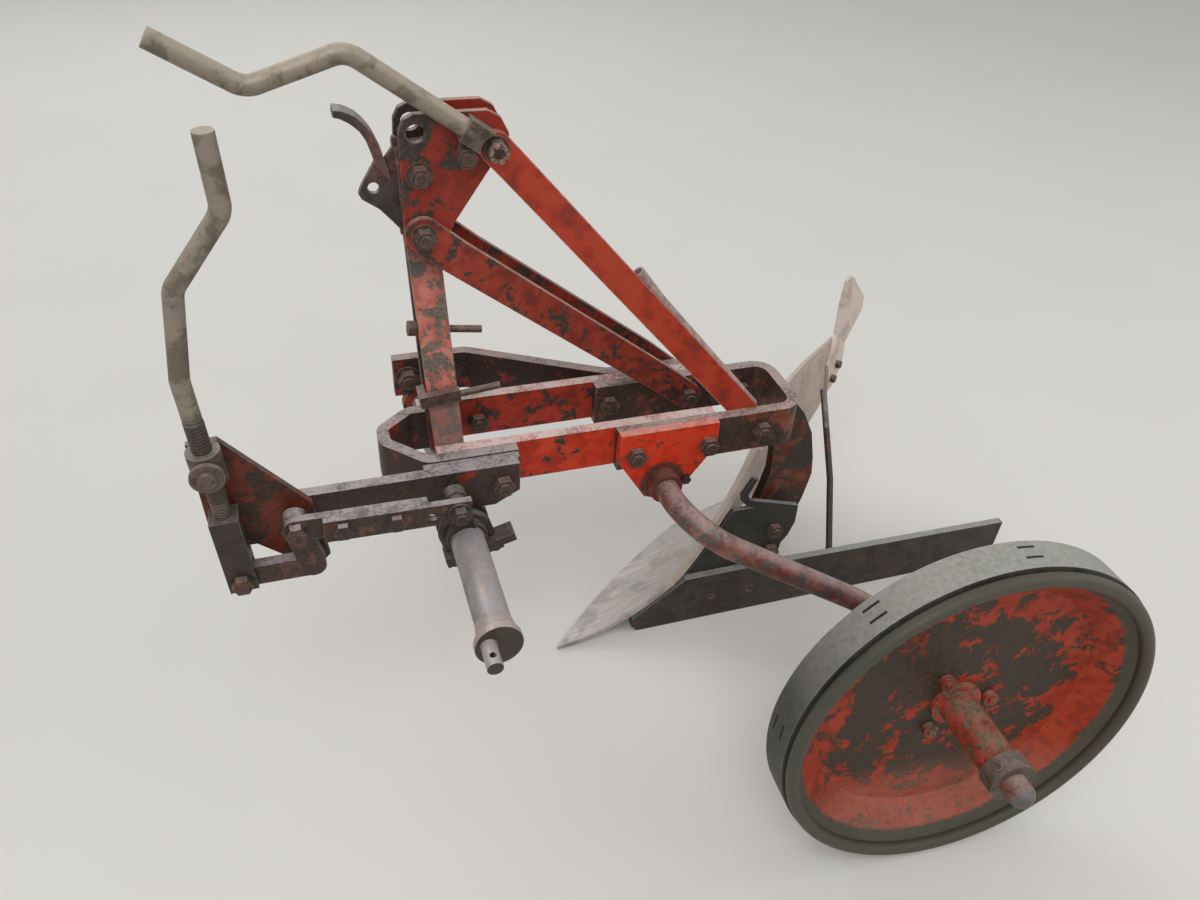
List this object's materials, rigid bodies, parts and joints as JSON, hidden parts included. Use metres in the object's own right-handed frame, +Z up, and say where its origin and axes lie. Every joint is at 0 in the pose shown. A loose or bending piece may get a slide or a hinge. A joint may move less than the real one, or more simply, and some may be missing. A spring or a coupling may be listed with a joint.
{
  "type": "mounted single-furrow mouldboard plough",
  "caption": "Tractor-mounted plough: bar frame with mast, eccentric hitch shaft levelled by a crank screw, curved mouldboard body and a dished land wheel on a bent axle.",
  "frame": {"origin": "middle of the machine's bounding box, on the ground", "axes": "+X the way it is drawn, +Y to its left (the land wheel's side), +Z up"},
  "size_m": [1.295, 0.9811, 0.9915],
  "materials": {
    "red_bar": "worn red paint over dark steel",
    "dark_bar": "paint mostly gone, dark rusted steel",
    "red_plate": "worn red paint over dark steel",
    "dark_plate": "dark rusted steel with remains of red paint",
    "rod_steel": "bare steel rod, brown patina",
    "leg_paint": "worn red paint over dark steel",
    "frog_iron": "dark rusted casting",
    "share_steel": "earth-polished steel gone dull and rusty",
    "board_steel": "earth-polished steel gone dull and rusty",
    "land_steel": "dull dark steel",
    "bolt_steel": "dark rusted bolts",
    "latch_steel": "dark rusted steel",
    "box_steel": "dark rusted steel",
    "shaft_steel": "bare steel tube worn smooth",
    "axle_paint": "faded red paint",
    "hub_paint": "faded red paint",
    "rim_steel": "dark worn iron rim",
    "disc_paint": "worn red paint over dark steel"
  },
  "bodies": {
    "frame": {"side_bar_left": "red_bar", "side_bar_right": "red_bar", "front_bow": "dark_bar", "rear_bow": "red_bar", "hitch_bar_left": "dark_bar", "hitch_spacer": "dark_bar", "hitch_bar_right": "red_bar", "mast_upright_left": "red_plate", "mast_upright_right": "dark_plate", "mast_plate_left": "red_plate", "mast_plate_right": "red_plate", "brace_left": "red_plate", "brace_right": "red_plate", "strut": "red_plate", "strut_sleeve": "dark_plate", "crank_yoke": "rod_steel", "trunnion_plate": "red_plate", "wheel_bracket": "red_plate", "leg": "leg_paint", "frog": "frog_iron", "share": "share_steel", "mouldboard": "board_steel", "tail_piece": "board_steel", "landside": "land_steel", "stay": "dark_plate", "frame_bolts": "bolt_steel", "mast_bolts": "bolt_steel", "body_bolts": "bolt_steel", "hook_bolts": "bolt_steel", "tail_bolts": "bolt_steel"},
    "top_crank_body": {"top_crank": "rod_steel"},
    "latch": {"latch_lever": "latch_steel"},
    "swivel": {"trunnion": "rod_steel"},
    "crank_screw": {"level_crank": "rod_steel"},
    "nut": {"screw_box": "box_steel", "box_pin": "bolt_steel"},
    "crank_plate": {"bell_crank": "dark_plate"},
    "link": {"link_bar": "dark_plate"},
    "shaft": {"cross_shaft": "shaft_steel", "shaft_arm": "box_steel"},
    "axle": {"wheel_axle": "axle_paint", "axle_collar": "hub_paint"},
    "wheel": {"wheel_rim": "rim_steel", "wheel_disc": "disc_paint", "wheel_hub": "hub_paint"}
  },
  "joints": [
    {"name": "hitch_shaft_tilt", "type": "hinge", "parent": "frame", "child": "shaft", "pos_m": [0.3555, -0.0231, 0.40845], "axis": [0, 1, 0], "range_deg": [-12, 12]},
    {"name": "bell_crank_turn", "type": "hinge", "parent": "frame", "child": "crank_plate", "pos_m": [0.5395, 0.0469, 0.412], "axis": [0, 1, 0], "range_deg": [-12, 12]},
    {"name": "link_turn", "type": "hinge", "parent": "crank_plate", "child": "link", "pos_m": [0.5515, 0.0469, 0.479], "axis": [0, 1, 0], "range_deg": [-12, 12]},
    {"name": "trunnion_swivel", "type": "hinge", "parent": "frame", "child": "swivel", "pos_m": [0.628, 0.0469, 0.576], "axis": [0, 1, 0], "range_deg": [-1, 1]},
    {"name": "level_crank_spin", "type": "hinge", "parent": "swivel", "child": "crank_screw", "pos_m": [0.628, 0.0469, 0.576], "axis": [0.0523, 0, 0.9986], "range_deg": [-1600, 1600]},
    {"name": "nut_travel", "type": "slide", "parent": "swivel", "child": "nut", "axis": [0.0523, 0, 0.9986], "range_m": [-0.02, 0.02]},
    {"name": "top_crank_spin", "type": "hinge", "parent": "frame", "child": "top_crank_body", "pos_m": [0.3325, -0.0431, 0.892], "axis": [0.8132, 0, 0.582], "continuous": true},
    {"name": "latch_swing", "type": "hinge", "parent": "frame", "child": "latch", "pos_m": [0.3715, -0.0766, 0.835], "axis": [0, -1, 0], "range_deg": [0, 20]},
    {"name": "wheel_height", "type": "hinge", "parent": "frame", "child": "axle", "pos_m": [0.0825, 0.0169, 0.41], "axis": [0, 1, 0], "range_deg": [-20, 20]},
    {"name": "wheel_spin", "type": "hinge", "parent": "axle", "child": "wheel", "pos_m": [-0.2065, 0.3649, 0.25234], "axis": [0.0522, 0.9968, 0.061], "continuous": true}
  ],
  "couplings": [
    {"joint": "bell_crank_turn", "follows": "hitch_shaft_tilt", "ratio": 1},
    {"joint": "link_turn", "follows": "hitch_shaft_tilt", "ratio": -1},
    {"joint": "trunnion_swivel", "follows": "hitch_shaft_tilt", "ratio": -0.03},
    {"joint": "nut_travel", "follows": "hitch_shaft_tilt", "m_per_rad": -0.0809},
    {"joint": "level_crank_spin", "follows": "hitch_shaft_tilt", "ratio": 127.1}
  ]
}
